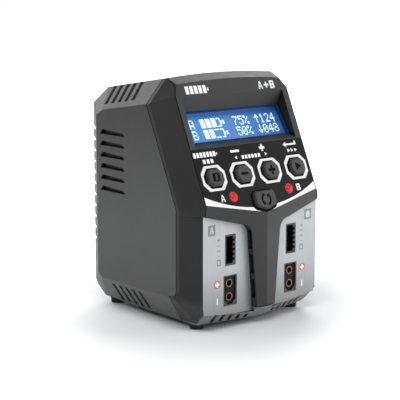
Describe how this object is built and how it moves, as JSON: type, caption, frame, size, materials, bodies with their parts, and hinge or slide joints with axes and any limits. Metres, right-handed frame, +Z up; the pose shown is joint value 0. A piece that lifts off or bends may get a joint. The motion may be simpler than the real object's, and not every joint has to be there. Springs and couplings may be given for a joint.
{
  "type": "balance battery charger",
  "caption": "Upright two-channel balance charger with leaning display panel, octagonal keys, silver socket plates and vented case.",
  "frame": {"origin": "centre of the footprint at the underside of the feet", "axes": "+Z up, front towards -Y, +X to the right seen from the front"},
  "size_m": [0.098, 0.0988, 0.13],
  "materials": {
    "case": "fine-textured moulded plastic",
    "case_dark": "fine-textured moulded plastic",
    "fascia": "smooth moulded plastic",
    "label": "gloss printed sheet",
    "white_trim": "white print",
    "black_plastic": "moulded",
    "display": "blue backlit display",
    "backlight": "light guide",
    "circuit_board": "solder-masked board",
    "red_lamp": "clear red lens",
    "silver": "satin silver",
    "socket": "moulded nylon",
    "tinned_pin": "tinned",
    "gold": "gold plated",
    "ferrite": "sintered ferrite",
    "capacitor_can": "sleeved can",
    "aluminium": "extruded",
    "copper_winding": "enamelled copper",
    "yellow_case": "moulded case",
    "fuse_glass": "glass tube",
    "tape": "wrapped tape",
    "screw_steel": "blackened steel",
    "rubber": "moulded rubber",
    "wire": "insulated wire",
    "film": "insulating film",
    "button": "soft-touch key",
    "plunger": "moulded plunger"
  },
  "bodies": {
    "case": {"ac_inlet": "socket", "arc_trim": "white_trim", "balance_pins_a": "tinned_pin", "balance_pins_b": "tinned_pin", "balance_socket_a": "socket", "balance_socket_b": "socket", "board_screws": "screw_steel", "bulk_capacitor": "capacitor_can", "button_bezels": "white_trim", "case_screws": "screw_steel", "charge_board": "circuit_board", "connector_panel_a": "silver", "connector_panel_b": "silver", "control_fascia": "fascia", "controller_chip": "black_plastic", "display_ribbon": "wire", "fan_frame": "black_plastic", "fan_screws": "screw_steel", "filter_capacitor": "yellow_case", "filter_choke": "copper_winding", "front_frame": "case_dark", "fuse": "fuse_glass", "inlet_pins": "tinned_pin", "insulation_sheet": "film", "internal_leads": "wire", "keypad_board": "circuit_board", "keypad_overlay": "label", "lcd_backlight": "backlight", "lcd_board": "circuit_board", "lcd_frame": "black_plastic", "lcd_glass": "display", "output_capacitors": "capacitor_can", "output_contacts_a": "gold", "output_contacts_b": "gold", "output_heat_sink": "aluminium", "output_socket_a": "socket", "output_socket_b": "socket", "power_board": "circuit_board", "power_inductors": "ferrite", "power_transistors": "black_plastic", "primary_heat_sink": "aluminium", "rear_shell": "case", "rectifier": "black_plastic", "rubber_feet": "rubber", "status_led_a": "red_lamp", "status_led_b": "red_lamp", "tact_switches": "black_plastic", "transformer_core": "ferrite", "transformer_winding": "tape"},
    "stop_key": {"stop_button": "button", "stop_plunger": "plunger"},
    "minus_key": {"minus_button": "button", "minus_plunger": "plunger"},
    "plus_key": {"plus_button": "button", "plus_plunger": "plunger"},
    "enter_key": {"enter_button": "button", "enter_plunger": "plunger"},
    "channel_key": {"channel_button": "button", "channel_plunger": "plunger"},
    "rotor": {"fan_rotor": "black_plastic"}
  },
  "joints": [
    {"name": "stop_press", "type": "slide", "parent": "case", "child": "stop_key", "axis": [0, 0.9135, -0.4067], "range_m": [0, 0.0005], "stiffness_N_per_m": 1800},
    {"name": "minus_press", "type": "slide", "parent": "case", "child": "minus_key", "axis": [0, 0.9135, -0.4067], "range_m": [0, 0.0005], "stiffness_N_per_m": 1800},
    {"name": "plus_press", "type": "slide", "parent": "case", "child": "plus_key", "axis": [0, 0.9135, -0.4067], "range_m": [0, 0.0005], "stiffness_N_per_m": 1800},
    {"name": "enter_press", "type": "slide", "parent": "case", "child": "enter_key", "axis": [0, 0.9135, -0.4067], "range_m": [0, 0.0005], "stiffness_N_per_m": 1800},
    {"name": "channel_press", "type": "slide", "parent": "case", "child": "channel_key", "axis": [0, 0.9135, -0.4067], "range_m": [0, 0.0005], "stiffness_N_per_m": 1800},
    {"name": "fan_spin", "type": "hinge", "parent": "case", "child": "rotor", "pos_m": [0, 0.04069, 0.075], "axis": [0, 1, 0], "continuous": true}
  ]
}
